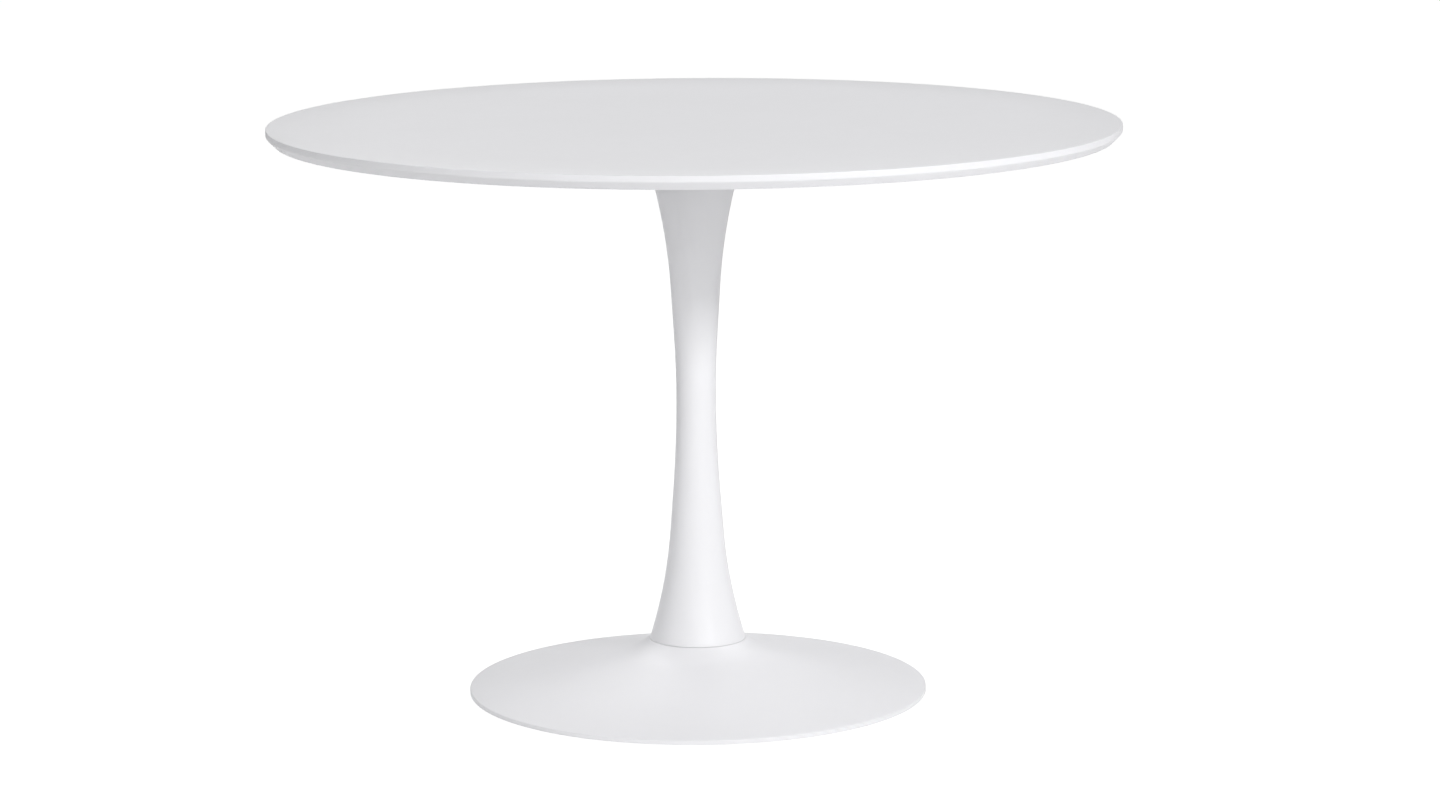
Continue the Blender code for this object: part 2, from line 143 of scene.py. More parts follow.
# ---------------------------------------------------------------- the base
SEAT_GAP = 0.0003
NECK_STEP = 0.0012
NECK_FILLET_RADIUS = 0.090
NECK_SLOPE = math.radians(40)
NECK_LIP_RADIUS = 0.0003
COVER_WALL = 0.0025
RIM_HEIGHT = 0.0055
RIM_EDGE_RADIUS = 0.0015
ROD_BORE_RADIUS = 0.0074
CASTING_FOOT_WIDTH = 0.050
CASTING_WEB = 0.007
CASTING_HUB_RADIUS = 0.045
CASTING_HUB_LENGTH = 0.030
CASTING_FILLET = 0.004
CASTING_EDGE = 0.0012
RIB_COUNT = 8
RIB_WIDTH = 0.006
RIB_SINK = 0.003
RIB_INNER_MARGIN, RIB_OUTER_MARGIN = 0.001, 0.0005    # how far ribs run past hub and foot ring
RIB_PITCH_SHARE = 0.6           # the most of half a pitch that a rib and its fillet take
CASTING_DRAFT = 0.0008
CASTING_STEP = 0.007

GLIDE_COUNT = 8
GLIDE_RADIUS = 0.015
GLIDE_THICKNESS = 0.003
GLIDE_EDGE = 0.0008
GLIDE_STEM_RADIUS = 0.004
GLIDE_HOLE_RADIUS = 0.0043
GLIDE_HOLE_DEPTH = 0.0053
GLIDE_BACK_BREAK = 0.0004
GLIDE_STEM_BREAK = 0.0006
# The glide's sole from its middle out: a low gate mark in a shallow dish.
GLIDE_SOLE = ((0, 0.0003), (0.0012, 0.0003), (0.0013, 0.0006), (0.0040, 0.0006), (0.0046, 0))

ROD_RADIUS = 0.007
ROD_THREAD_PITCH = 0.002
ROD_THREAD_DEPTH = 0.0011
ROD_THREAD_LENGTH = 0.036
ROD_THREAD_ROWS = 6             # rings of the mesh in each turn of thread
ROD_CHAMFER = 0.0012
THREAD_FLANK, THREAD_CREST = 3.2, 0.3
NUT_BORE_RADIUS = 0.0073
NUT_COUNTERSINK = 0.0007
NUT_FACE_SHARE = 0.96           # the turned face's radius, as a share of the distance to a flat
NUT_CHAMFER_ANGLE = math.radians(30)
NUT_BLANK_PAST = 0.0001
WASHER_SOFT, WASHER_CRISP = 0.0006, 0.0003
SPRING_WASHER_BREAK = 0.0004
SPRING_WASHER_SLOT = 0.002
SPRING_WASHER_TILT = math.radians(25)

# ---------------------------------------------------------------- fineness
TOP_SIDES = 384
BASE_SIDES = 288
COLUMN_SIDES = 192
PLATE_SIDES = 192
WASHER_SIDES = 96
SMALL_SIDES = 48
DOME_STEPS = 8
COLUMN_STEPS = 110
CONE_STEPS = 10
NECK_STEPS = 16
CASTING_NECK_STEPS = 6
ROUND_STEPS = 4
FINE_ROUND_STEPS = 5
TOP_ROUND_STEPS = 6
TOP_FLAT_STEPS = 6
PLATE_ROUND_STEPS = 3
OPEN_STEPS = 7                  # across half the gap between two ribs
FLOOR_SIDES = 64
BACKDROP_SIDES, BACKDROP_RINGS = 48, 24
SHARP_ANGLE = math.radians(28)
HEXAGON = 6

# ---------------------------------------------------------------- cutters and tolerances
CUT_PAST = 0.005                # how far a cutter sticks out of what it cuts
SOCKET_CUT_PAST = 0.001
WELD_TOLERANCE = 1e-7
SLIVER_TOLERANCE = 1e-6


# ---------------------------------------------------------------- what the CAD says
def heights(node):
    """A node's lowest and highest point."""
    low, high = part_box(node)
    return low.z, high.z


def half_width(node):
    """Half a node's breadth."""
    low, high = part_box(node)
    return (high.x - low.x) / 2


def middle(node):
    """The middle of a node's box, seen from above."""
    low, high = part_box(node)
    return (low.x + high.x) / 2, (low.y + high.y) / 2


TOP_RADIUS = half_width("tabletop")
TOP_UNDERSIDE, TABLE_HEIGHT = heights("tabletop")
PLATE_BOTTOM, PLATE_TOP = heights("mounting_plate")
COLUMN_FOOT, COLUMN_HEAD = heights("column_shell")
COLUMN_LENGTH = COLUMN_HEAD - COLUMN_FOOT
COVER_BOTTOM, SEAM_HEIGHT = heights("base_cover")
BASE_RADIUS = half_width("base_cover")
CASTING_BOTTOM, CASTING_TOP = heights("base_casting")
CASTING_RADIUS = half_width("base_casting")
CASTING_HUB_BOTTOM = CASTING_TOP - CASTING_HUB_LENGTH
CASTING_FOOT_INNER = CASTING_RADIUS - CASTING_FOOT_WIDTH


# ---------------------------------------------------------------- mesh helpers
def mesh_from(bm, name):
    """Closes off a bmesh: welded, facing out, smooth with crisp edges."""
    bmesh.ops.remove_doubles(bm, verts=bm.verts, dist=WELD_TOLERANCE)
    bmesh.ops.recalc_face_normals(bm, faces=bm.faces)
    mesh = bpy.data.meshes.new(name)
    bm.to_mesh(mesh)
    bm.free()
    mesh.shade_smooth()
    mesh.set_sharp_from_angle(angle=SHARP_ANGLE)
    return mesh


def turned(name, outline, sides):
    """A closed outline of (radius, height) points turned a full circle about Z."""
    bm = bmesh.new()
    points = [bm.verts.new((radius, 0, height)) for radius, height in outline]
    pairs = list(zip(points, points[1:]))
    if outline[0][0] > 0 or outline[-1][0] > 0:
        pairs.append((points[-1], points[0]))
    edges = [bm.edges.new(pair) for pair in pairs]
    bmesh.ops.spin(bm, geom=points + edges, axis=(0, 0, 1), angle=math.tau, steps=sides,
                   use_merge=True)
    return mesh_from(bm, name)


def rounded(outline, corners, steps=ROUND_STEPS):
    """The outline with the corners at the given places, {index: radius}, rounded."""
    made = []
    for index, point in enumerate(outline):
        if index not in corners:
            made.append(point)
            continue
        here = Vector(point)
        before = (Vector(outline[index - 1]) - here).normalized()
        after = (Vector(outline[(index + 1) % len(outline)]) - here).normalized()
        half = before.angle(after) / 2
        radius = corners[index]
        center = here + (before + after).normalized() * radius / math.sin(half)
        first = here + before * radius / math.tan(half) - center
        last = here + after * radius / math.tan(half) - center
        turn = first.angle_signed(last)
        for step in range(steps + 1):
            spoke = first.copy()
            spoke.rotate(Matrix.Rotation(-turn * step / steps, 2))
            made.append(tuple(center + spoke))
    return made


def between(start, end, steps):
    """The points that divide a line, without its ends."""
    a, b = Vector(start), Vector(end)
    return [tuple(a.lerp(b, step / steps)) for step in range(1, steps)]


def place(name, mesh, look, *nodes):
    """Puts a piece in the frame, standing for CAD nodes and wearing a material slot's finish."""
    piece = bpy.data.objects.new(name, mesh)
    mesh.materials.append(look)
    bpy.context.scene.collection.objects.link(piece)
    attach(piece, "root")
    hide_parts(*nodes)
    return piece


def cut(piece, bm, operation="DIFFERENCE"):
    """Cuts a shape out of a piece at the origin, or joins it on, for good."""
    helper = bpy.data.objects.new("helper", mesh_from(bm, "helper"))
    bpy.context.scene.collection.objects.link(helper)
    modifier = piece.modifiers.new("cut", "BOOLEAN")
    modifier.operation = operation
    modifier.solver = "EXACT"
    modifier.object = helper
    graph = bpy.context.evaluated_depsgraph_get()
    mesh = bpy.data.meshes.new_from_object(piece.evaluated_get(graph))
    piece.modifiers.clear()
    bpy.data.objects.remove(helper)
    mesh.name = piece.data.name
    piece.data = mesh
    mesh.shade_smooth()
    mesh.set_sharp_from_angle(angle=SHARP_ANGLE)


def shafts(places, radius, bottom, top, sides=SMALL_SIDES):
    """Upright round cutters at (x, y) places."""
    bm = bmesh.new()
    for x, y in places:
        shaft = bmesh.ops.create_cone(bm, cap_ends=True, segments=sides,
                                      radius1=radius, radius2=radius, depth=top - bottom)
        bmesh.ops.translate(bm, verts=shaft["verts"], vec=(x, y, (top + bottom) / 2))
    return bm


# ---------------------------------------------------------------- the column's curve
def half_curve(distance, length, taper, waist_length, flare_length, mouth_slope):
    """Radius gained at a distance from the waist, towards one end of the column."""
    flare_start = length - flare_length
    waist = taper * min(distance, waist_length) ** 2 / (2 * waist_length)
    straight = taper * max(distance - waist_length, 0)
    flare = (mouth_slope - taper) * max(distance - flare_start, 0) ** 2 / (2 * flare_length)
    return waist + straight + flare


def column_radius(height):
    """Outer radius of the column at a height above its foot."""
    above = height - WAIST_ABOVE_FOOT
    if above < 0:
        gained = half_curve(-above, WAIST_ABOVE_FOOT, LOWER_TAPER, LOWER_WAIST_LENGTH,
                            FOOT_FLARE_LENGTH, FOOT_SLOPE)
    else:
        gained = half_curve(above, COLUMN_LENGTH - WAIST_ABOVE_FOOT, UPPER_TAPER,
                            UPPER_WAIST_LENGTH, HEAD_FLARE_LENGTH, HEAD_SLOPE)
    return WAIST_RADIUS + gained


# ---------------------------------------------------------------- the base cover's curve
NECK_RADIUS = column_radius(0) + NECK_STEP
FILLET_CENTER = (NECK_RADIUS + NECK_FILLET_RADIUS * math.sin(NECK_SLOPE),
                 SEAM_HEIGHT + NECK_FILLET_RADIUS * math.cos(NECK_SLOPE))
RIM_TOP = COVER_BOTTOM + RIM_HEIGHT


def cone_angle():
    """Slope of the cover's cone: from the rim's upper edge it runs on to touch the neck fillet."""
    inward = BASE_RADIUS - FILLET_CENTER[0]
    upward = FILLET_CENTER[1] - RIM_TOP
    return math.atan2(upward, inward) - math.asin(NECK_FILLET_RADIUS / math.hypot(inward, upward))


def cone_height(radius, depth):
    """Height of the cone at a radius, on the surface a depth under the cover's outside."""
    slope = cone_angle()
    return RIM_TOP + (BASE_RADIUS - radius) * math.tan(slope) - depth / math.cos(slope)


def neck_curve(depth, top, steps=NECK_STEPS):
    """The neck fillet from the cone up to a height, a depth under the cover's outside."""
    radius = NECK_FILLET_RADIUS + depth
    end_angle = math.acos((FILLET_CENTER[1] - top) / radius)
    start_angle = cone_angle()
    turns = [start_angle + (end_angle - start_angle) * step / steps for step in range(steps + 1)]
    return [(FILLET_CENTER[0] - radius * math.sin(a), FILLET_CENTER[1] - radius * math.cos(a))
            for a in turns]


# ---------------------------------------------------------------- material nodes
class Graph:
    """A new material's nodes, with short ways to add and join them."""

    def __init__(self, name):
        self.material = bpy.data.materials.new(name)
        self.material["slot"] = name
        self.material.use_nodes = True
        self.tree = self.material.node_tree
        self.shader = self.tree.nodes["Principled BSDF"]
        self.place = self.tree.nodes.new("ShaderNodeTexCoord").outputs["Object"]

    def constant(self, **values):
        """Sets the shader's own sockets, which hold for the whole surface."""
        for name, value in values.items():
            self.shader.inputs[name.replace("_", " ")].default_value = value

    def node(self, kind, links=(), **settings):
        """A new node: settings are its own, links feeds its sockets with sockets or values."""
        made = self.tree.nodes.new(kind)
        for name, value in settings.items():
            setattr(made, name, value)
        for socket, value in dict(links).items():
            if isinstance(value, bpy.types.NodeSocket):
                self.tree.links.new(value, made.inputs[socket])
            else:
                made.inputs[socket].default_value = value
        return made

    def use(self, socket, source):
        """Feeds one of the shader's sockets."""
        self.tree.links.new(source, self.shader.inputs[socket])

    def noise(self, size, detail=2.0, roughness=0.5, place=None):
        """Noise whose features are about this size, in metres."""
        links = {"Vector": place or self.place, "Scale": 1 / size, "Detail": detail,
                 "Roughness": roughness}
        return self.node("ShaderNodeTexNoise", links).outputs["Fac"]

    def stretched(self, scale):
        """The object's coordinates with each axis scaled, for lines left by a tool."""
        links = {"Vector": self.place, "Scale": scale}
        return self.node("ShaderNodeMapping", links).outputs["Vector"]

    def spread(self, source, low, high, start=0.3, end=0.7):
        """The source, from start to end, mapped on to low to high."""
        links = {"Value": source, "From Min": start, "From Max": end, "To Min": low, "To Max": high}
        return self.node("ShaderNodeMapRange", links).outputs["Result"]

    def math(self, operation, first, second):
        made = self.node("ShaderNodeMath", {0: first, 1: second}, operation=operation)
        return made.outputs["Value"]

    def colors(self, share, first, second):
        """The first colour where the share is 0, the second where it is 1."""
        mixed = self.node("ShaderNodeMix", data_type="RGBA")
        self.tree.links.new(share, mixed.inputs["Factor"])
        for name, value in (("A", first), ("B", second)):
            socket = [s for s in mixed.inputs if s.name == name and s.type == "RGBA"][0]
            socket.default_value = (*value, 1)
        return [s for s in mixed.outputs if s.type == "RGBA"][0]

    def mottle(self, source, first, second, start=0.3, end=0.7):
        """Colours the surface from the first to the second colour as the source says."""
        self.use("Base Color", self.colors(self.spread(source, 0, 1, start, end), first, second))

    def gloss(self, source, low, high):
        """Roughness from low to high as the source says."""
        self.use("Roughness", self.spread(source, low, high))

    def radius(self):
        """Distance from the table's axis."""
        parts = self.node("ShaderNodeSeparateXYZ", {0: self.place})
        links = {"X": parts.outputs["X"], "Y": parts.outputs["Y"]}
        flat = self.node("ShaderNodeCombineXYZ", links).outputs[0]
        return self.node("ShaderNodeVectorMath", {0: flat}, operation="LENGTH").outputs["Value"]

    def height(self):
        """Height above the floor."""
        return self.node("ShaderNodeSeparateXYZ", {0: self.place}).outputs["Z"]

    def bump(self, source, depth, strength=1.0, under=None):
        """Relief of this depth, in metres; under is the relief that it lies on."""
        links = {"Height": source, "Distance": depth, "Strength": strength}
        if under:
            links["Normal"] = under
        return self.node("ShaderNodeBump", links).outputs["Normal"]


def coat(name, light, dark, roughness, peel_size, peel_depth, rubbed):
    """A sprayed white coat: an even colour with a faint cloudiness, orange peel and rubbed parts.

    rubbed says where hands or feet have changed its roughness: a maker of the socket that measures
    the place, where the change starts, where it is full, and how much it is."""
    graph = Graph(name)
    graph.mottle(graph.noise(0.16, detail=3), light, dark)
    fine = graph.spread(graph.noise(0.012, detail=4), roughness - 0.03, roughness + 0.03)
    measure, start, end, change = rubbed
    worn = graph.spread(measure(graph), 0, change, start, end)
    graph.use("Roughness", graph.math("ADD", fine, worn))
    swell = graph.bump(graph.noise(0.045, detail=1), peel_depth * 3)
    peel = graph.bump(graph.noise(peel_size, detail=1.5), peel_depth, under=swell)
    dust = graph.bump(graph.noise(peel_size / 6, detail=0), peel_depth / 6, under=peel)
    graph.use("Normal", dust)
    graph.constant(IOR=1.5)
    return graph.material


def top_lacquer():
    """Matt white lacquer on fibreboard; sleeves polish the last hand's breadth before the edge."""
    sleeves = (Graph.radius, TOP_RADIUS - SLEEVE_REACH, TOP_RADIUS, -0.05)
    return coat("top_lacquer", light=(0.800, 0.800, 0.821), dark=(0.792, 0.792, 0.812),
                roughness=0.46, peel_size=0.0022, peel_depth=1.2e-5, rubbed=sleeves)


def column_powder_coat():
    """Satin white powder coat, a little more polished low down where feet brush it."""
    feet = (Graph.height, FEET_HEIGHT, COLUMN_FOOT, -0.04)
    return coat("column_powder_coat", light=(0.804, 0.803, 0.821), dark=(0.796, 0.795, 0.812),
                roughness=0.40, peel_size=0.0015, peel_depth=1.5e-5, rubbed=feet)


def base_powder_coat():
    """The same coat on the base, scuffed dull by shoes towards its rim."""
    shoes = (Graph.radius, BASE_RADIUS - SHOE_REACH, BASE_RADIUS, 0.06)
    return coat("base_powder_coat", light=(0.804, 0.803, 0.821), dark=(0.795, 0.794, 0.811),
                roughness=0.42, peel_size=0.0015, peel_depth=1.6e-5, rubbed=shoes)


def plate_black_coat():
    """Fine-textured black powder coat on the mounting plate."""
    graph = Graph("plate_black_coat")
    grain = graph.noise(0.0009, detail=3, roughness=0.6)
    graph.mottle(grain, (0.022, 0.022, 0.024), (0.042, 0.042, 0.044))
    graph.gloss(grain, 0.48, 0.68)
    graph.use("Normal", graph.bump(grain, 6e-5))
    graph.constant(IOR=1.5)
    return graph.material


def zinc_steel():
    """Bright zinc plate: bluish and yellowish clouds, with fine turning lines and small stains."""
    graph = Graph("zinc_steel")
    graph.mottle(graph.noise(0.006, detail=4), (0.60, 0.63, 0.67), (0.68, 0.66, 0.60))
    drawn = graph.noise(0.0008, detail=2, place=graph.stretched((0.3, 0.3, 6.0)))
    graph.gloss(drawn, 0.22, 0.42)
    graph.use("Normal", graph.bump(drawn, 1.2e-5))
    graph.constant(Metallic=1.0)
    return graph.material


def welded_steel():
    """Plain mild steel with mill scale and a brown heat bloom in patches."""
    graph = Graph("welded_steel")
    scale = graph.noise(0.009, detail=5, roughness=0.6)
    graph.mottle(scale, (0.30, 0.30, 0.31), (0.36, 0.31, 0.26))
    graph.gloss(scale, 0.38, 0.62)
    graph.use("Normal", graph.bump(graph.noise(0.0012, detail=3), 3e-5))
    graph.constant(Metallic=1.0)
    return graph.material


def insert_brass():
    """Turned brass, slightly tarnished."""
    graph = Graph("insert_brass")
    graph.mottle(graph.noise(0.004, detail=4), (0.80, 0.62, 0.28), (0.58, 0.42, 0.19))
    turning = graph.noise(0.0006, detail=1, place=graph.stretched((0.2, 0.2, 8.0)))
    graph.gloss(turning, 0.25, 0.45)
    graph.use("Normal", graph.bump(turning, 1e-5))
    graph.constant(Metallic=1.0)
    return graph.material


def cast_iron():
    """A sand casting under thin dark primer, with coarse grain and browner patches."""
    graph = Graph("cast_iron")
    patches = graph.noise(0.05, detail=6, roughness=0.65)
    graph.mottle(patches, (0.110, 0.112, 0.118), (0.165, 0.162, 0.156), start=0.35, end=0.65)
    sand = graph.noise(0.0016, detail=5, roughness=0.7)
    graph.gloss(sand, 0.62, 0.86)
    swell = graph.bump(graph.noise(0.02, detail=2), 4e-4)
    grain = graph.bump(sand, 2.2e-4, under=swell)
    graph.use("Normal", grain)
    graph.constant(Metallic=0.15)
    return graph.material


def glide_nylon():
    """Moulded black nylon with a fine grain, scuffed dull in patches."""
    graph = Graph("glide_nylon")
    scuff = graph.noise(0.0025, detail=5, roughness=0.7)
    graph.mottle(scuff, (0.040, 0.040, 0.043), (0.070, 0.069, 0.068))
    graph.gloss(scuff, 0.46, 0.66)
    graph.use("Normal", graph.bump(graph.noise(0.0005, detail=2), 2e-5))
    graph.constant(IOR=1.53)
    return graph.material


# ---------------------------------------------------------------- the top and what holds it
def screw_places():
    """Where the screws stand, seen from above."""
    return [middle(f"top_screw_{number}") for number in range(1, SCREW_COUNT + 1)]


def make_tabletop(look):
    """A disc with a short upright band at its rim and an undercut below it."""
    thickness = TABLE_HEIGHT - TOP_UNDERSIDE
    undercut = (thickness - TOP_BAND_HEIGHT) / math.tan(UNDERCUT_ANGLE)
    foot = TOP_RADIUS - undercut
    outline = [(0, TOP_UNDERSIDE)]
    outline += between((0, TOP_UNDERSIDE), (foot, TOP_UNDERSIDE), TOP_FLAT_STEPS)
    corner = len(outline)
    outline += [(foot, TOP_UNDERSIDE),
                (TOP_RADIUS, TABLE_HEIGHT - TOP_BAND_HEIGHT),
                (TOP_RADIUS, TABLE_HEIGHT)]
    outline += between((TOP_RADIUS, TABLE_HEIGHT), (0, TABLE_HEIGHT), TOP_FLAT_STEPS)
    outline += [(0, TABLE_HEIGHT)]
    outline = rounded(outline, {corner: TOP_CORNER_RADIUS, corner + 1: TOP_BAND_FOOT_RADIUS,
                                corner + 2: TOP_EDGE_RADIUS}, steps=TOP_ROUND_STEPS)
    top = place("lacquered_top", turned("lacquered_top", outline, TOP_SIDES), look, "tabletop")
    cut(top, shafts(screw_places(), INSERT_HOLE_RADIUS, TOP_UNDERSIDE - thickness,
                    TOP_UNDERSIDE + INSERT_HOLE_DEPTH))


def make_mounting_plate(look):
    """The steel disc under the top, its edge chamfered, with clearance holes for the screws."""
    radius = half_width("mounting_plate")
    outline = [(0, PLATE_BOTTOM),
               (radius - PLATE_CHAMFER, PLATE_BOTTOM),
               (radius, PLATE_BOTTOM + PLATE_CHAMFER),
               (radius, PLATE_TOP),
               (0, PLATE_TOP)]
    corners = {1: PLATE_BREAK, 2: PLATE_BREAK, 3: PLATE_TOP_BREAK}
    outline = rounded(outline, corners, steps=PLATE_ROUND_STEPS)
    mesh = turned("mounting_disc", outline, PLATE_SIDES)
    plate = place("mounting_disc", mesh, look, "mounting_plate")
    cut(plate, shafts(screw_places(), PLATE_HOLE_RADIUS, PLATE_BOTTOM - CUT_PAST,
                      PLATE_TOP + CUT_PAST))


def insert_mesh(length):
    """An insert from height 0 up: a plain collar, then barbs that bite against a downward pull."""
    reach = (length - INSERT_BREAK - INSERT_COLLAR) / INSERT_BARBS
    notch = INSERT_RADIUS - INSERT_BARB_DEPTH
    outline = [(INSERT_BORE_RADIUS + INSERT_BREAK, 0), (INSERT_RADIUS, 0),
               (INSERT_RADIUS, INSERT_COLLAR)]
    for barb in range(INSERT_BARBS):
        foot = INSERT_COLLAR + barb * reach
        tooth = foot + reach * INSERT_NOTCH_SHARE
        outline += [(notch, foot), (notch, tooth), (INSERT_RADIUS, tooth)]
    outline += [(notch, length - INSERT_BREAK), (notch - INSERT_BREAK, length),
                (INSERT_BORE_RADIUS, length), (INSERT_BORE_RADIUS, INSERT_BREAK)]
    return turned("barbed_insert", outline, SMALL_SIDES)


def make_inserts(look):
    """Brass inserts in the top's blind holes, flush with its underside."""
    for number, (x, y) in enumerate(screw_places(), 1):
        node = f"top_insert_{number}"
        low, high = heights(node)
        insert = place(f"barbed_insert_{number}", insert_mesh(high - low), look, node)
        insert.data.transform(Matrix.Translation((x, y, low)))


def make_plate_hub(look):
    """The boss under the plate, with its edges broken."""
    (low, high), radius = heights("plate_hub"), half_width("plate_hub")
    outline = [(HUB_BORE_RADIUS, low), (radius, low), (radius, high), (HUB_BORE_RADIUS, high)]
    outline = rounded(outline, {0: HUB_BREAK, 1: HUB_BREAK, 2: COLLAR_BREAK, 3: COLLAR_BREAK})
    place("threaded_boss", turned("threaded_boss", outline, WASHER_SIDES), look, "plate_hub")


def screw_mesh(length):
    """A button-head screw, head down, with its seat at height 0 and a hexagon socket."""
    out, down = SCREW_HEAD_RADIUS - SCREW_FACE_RADIUS, SCREW_HEAD_HEIGHT - SCREW_HEAD_EDGE
    turns = [math.pi / 2 * step / DOME_STEPS for step in range(DOME_STEPS + 1)]
    dome = [(SCREW_FACE_RADIUS + out * math.sin(a), -SCREW_HEAD_EDGE - down * math.cos(a))
            for a in turns]
    outline = [(0, -SCREW_HEAD_HEIGHT)] + dome
    outline += [(SCREW_HEAD_RADIUS, -SCREW_BREAK),
                (SCREW_HEAD_RADIUS - SCREW_BREAK, 0),
                (SCREW_RADIUS, 0),
                (SCREW_RADIUS, length - SCREW_BREAK),
                (SCREW_RADIUS - SCREW_BREAK, length),
                (0, length)]
    return turned("socket_screw", outline, SMALL_SIDES)


def make_screws(look):
    """Button-head screws under the mounting plate, each turned as it happened to stop."""
    corner = SOCKET_ACROSS_FLATS / 2 / math.cos(math.pi / HEXAGON)
    socket_top = SOCKET_DEPTH - SCREW_HEAD_HEIGHT
    socket_bottom = socket_top - SOCKET_DEPTH - SOCKET_CUT_PAST
    for number, (x, y) in enumerate(screw_places(), 1):
        node = f"top_screw_{number}"
        low, high = heights(node)
        seat = low + SCREW_HEAD_HEIGHT
        screw = place(f"socket_screw_{number}", screw_mesh(high - seat), look, node)
        cut(screw, shafts([(0, 0)], corner, socket_bottom, socket_top, HEXAGON))
        turn = Matrix.Rotation(math.tau * (number * SCREW_STOP_TURN % 1), 4, "Z")
        screw.data.transform(Matrix.Translation((x, y, seat)) @ turn)


# ---------------------------------------------------------------- the column
def make_column(look):
    """The hollow trumpet shell, its mouths' lips slightly rounded."""
    steps = [COLUMN_LENGTH * step / COLUMN_STEPS for step in range(COLUMN_STEPS + 1)]
    outer = [(column_radius(height), COLUMN_FOOT + height) for height in steps]
    inner = [(radius - COLUMN_WALL, height) for radius, height in reversed(outer)]
    corners = (0, len(outer) - 1, len(outer), 2 * len(outer) - 1)
    outline = rounded(outer + inner, {corner: COLUMN_LIP_RADIUS for corner in corners})
    place("trumpet_column", turned("trumpet_column", outline, COLUMN_SIDES), look, "column_shell")


def collar_edge(height):
    """How far out a collar reaches at a height: to the inner wall, less the gap of its weld."""
    return column_radius(height - COLUMN_FOOT) - COLUMN_WALL - COLLAR_INSET


def make_collar(name, node, bore, weld_side, look):
    """A disc inside the column with a weld bead round it, above it (weld_side 1) or below (-1)."""
    low, high = heights(node)
    near, far = (high, low) if weld_side > 0 else (low, high)
    bead = []
    for step in range(WELD_STEPS + 1):
        turn = math.pi / 2 * step / WELD_STEPS
        height = near + weld_side * WELD_BEAD * math.sin(turn)
        bead.append((collar_edge(height) - WELD_BEAD * math.cos(turn), height))
    outline = [(bore, far), (collar_edge(far), far)] + bead[::-1] + [(bore, near)]
    last = len(outline) - 1
    outline = rounded(outline, {0: COLLAR_BREAK, 1: COLLAR_BREAK, last: COLLAR_BREAK})
    mesh = turned(name, outline, BASE_SIDES)
    for vertex in mesh.vertices:
        proud = (vertex.co.z - near) * weld_side / WELD_BEAD
        if proud > 0:
            angle = math.atan2(vertex.co.y, vertex.co.x)
            ripple = WELD_RIPPLE_DEPTH * proud * abs(math.sin(WELD_RIPPLES / 2 * angle))
            vertex.co.z -= weld_side * ripple
    place(name, mesh, look, node)


def make_collars(look):
    """The discs welded inside the column: at its head, round the plate's boss, and at its foot."""
    head_bore = half_width("plate_hub") + HUB_GAP
    make_collar("head_collar", "column_head_collar", head_bore, -1, look)
    make_collar("foot_collar", "column_foot_collar", ROD_BORE_RADIUS, 1, look)


def thread_depth(turns):
    """How deep a thread is cut at a place along it, as a share; turns counts pitches."""
    from_crest = abs(turns % 1 - 0.5)
    return min(max(from_crest * THREAD_FLANK - THREAD_CREST, 0), 1)


def make_tie_rod(look):
    """The threaded rod; real threads at both ends, a plain shank between them."""
    bottom, top = heights("tie_rod")
    rows = ROD_THREAD_ROWS
    thread_rows = int(ROD_THREAD_LENGTH / ROD_THREAD_PITCH * rows)
    levels = [bottom + ROD_THREAD_PITCH * row / rows for row in range(thread_rows + 1)]
    levels += [top - ROD_THREAD_PITCH * row / rows for row in range(thread_rows, -1, -1)]
    bm = bmesh.new()
    rings = []
    for level in levels:
        depth_in = min(level - bottom, top - level)
        run_out = min(max((ROD_THREAD_LENGTH - depth_in) / ROD_THREAD_PITCH, 0), 1)
        chamfer = max(ROD_CHAMFER - depth_in, 0)
        ring = []
        for side in range(SMALL_SIDES):
            angle = math.tau * side / SMALL_SIDES
            turns = level / ROD_THREAD_PITCH - side / SMALL_SIDES
            cut_in = ROD_THREAD_DEPTH * run_out * thread_depth(turns)
            radius = min(ROD_RADIUS - cut_in, ROD_RADIUS - chamfer)
            ring.append(bm.verts.new((radius * math.cos(angle), radius * math.sin(angle), level)))
        rings.append(ring)
    for lower, upper in zip(rings, rings[1:]):
        for side in range(SMALL_SIDES):
            after = (side + 1) % SMALL_SIDES
            bm.faces.new((lower[side], lower[after], upper[after], upper[side]))
    bm.faces.new(rings[0])
    bm.faces.new(rings[-1])
    place("threaded_rod", mesh_from(bm, "threaded_rod"), look, "tie_rod")


# ---------------------------------------------------------------- the base
def make_base_cover(look):
    """The thin shell that is seen: upright rim, straight cone, steepening neck, flat seat."""
    inner_rim = BASE_RADIUS - COVER_WALL
    seat_underside = SEAM_HEIGHT - COVER_WALL
    neck = neck_curve(0, SEAM_HEIGHT)
    cone = between((BASE_RADIUS, RIM_TOP), neck[0], CONE_STEPS)
    outside = [(BASE_RADIUS, COVER_BOTTOM), (BASE_RADIUS, RIM_TOP)] + cone + neck
    inside = [(ROD_BORE_RADIUS, SEAM_HEIGHT), (ROD_BORE_RADIUS, seat_underside)]
    inside += reversed(neck_curve(COVER_WALL, seat_underside))
    inside += [(inner_rim, cone_height(inner_rim, COVER_WALL)), (inner_rim, COVER_BOTTOM)]
    lips = {0: NECK_LIP_RADIUS, 1: RIM_EDGE_RADIUS, len(outside) - 1: NECK_LIP_RADIUS,
            len(outside) + len(inside) - 1: NECK_LIP_RADIUS}
    outline = rounded(outside + inside, lips, steps=FINE_ROUND_STEPS)
    place("conical_cover", turned("conical_cover", outline, BASE_SIDES), look, "base_cover")


def web_underside(radius):
    """Height of the casting's web, seen from below."""
    return cone_height(radius, COVER_WALL + SEAT_GAP) - CASTING_WEB


